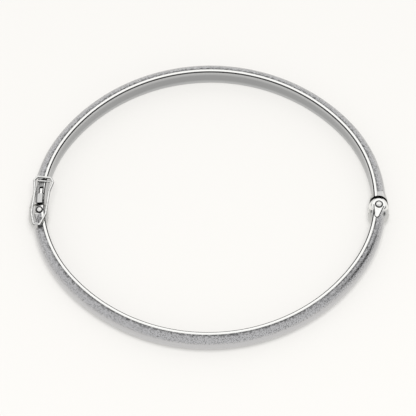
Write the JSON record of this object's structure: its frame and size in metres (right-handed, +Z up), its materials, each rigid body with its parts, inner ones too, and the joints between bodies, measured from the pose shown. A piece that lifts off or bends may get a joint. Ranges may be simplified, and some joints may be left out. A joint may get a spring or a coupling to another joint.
{
  "type": "hinged bangle",
  "caption": "Oval hinged bangle: half-round sanded band with polished rims, pin hinge, folded spring tongue clasp and a wire safety loop.",
  "frame": {"origin": "middle of the oval opening, on the surface that the bangle lies on", "axes": "+X towards the hinge, along the opening's long axis; -Y towards the half that carries the tongue and the safety loop; +Z up, along the wrist's axis"},
  "size_m": [0.0657, 0.058, 0.0048],
  "materials": {
    "satin_silver": "sterling silver, sand-textured crown with polished rims and inside",
    "polished_silver": "sterling silver, polished"
  },
  "bodies": {
    "back": {"back_half": "satin_silver"},
    "front": {"front_half": "satin_silver", "hinge_pin": "polished_silver", "tongue": "polished_silver", "tongue_rivet": "polished_silver"},
    "loop": {"safety_loop": "polished_silver"}
  },
  "joints": [
    {"name": "hinge", "type": "hinge", "parent": "back", "child": "front", "pos_m": [0.03076, -0.0029, 0], "axis": [0, 0, 1], "range_deg": [0, 50]},
    {"name": "safety", "type": "hinge", "parent": "front", "child": "loop", "pos_m": [-0.03143, -0.00396, 0.00438], "axis": [0.9869, -0.1616, 0], "range_deg": [0, 170]}
  ]
}
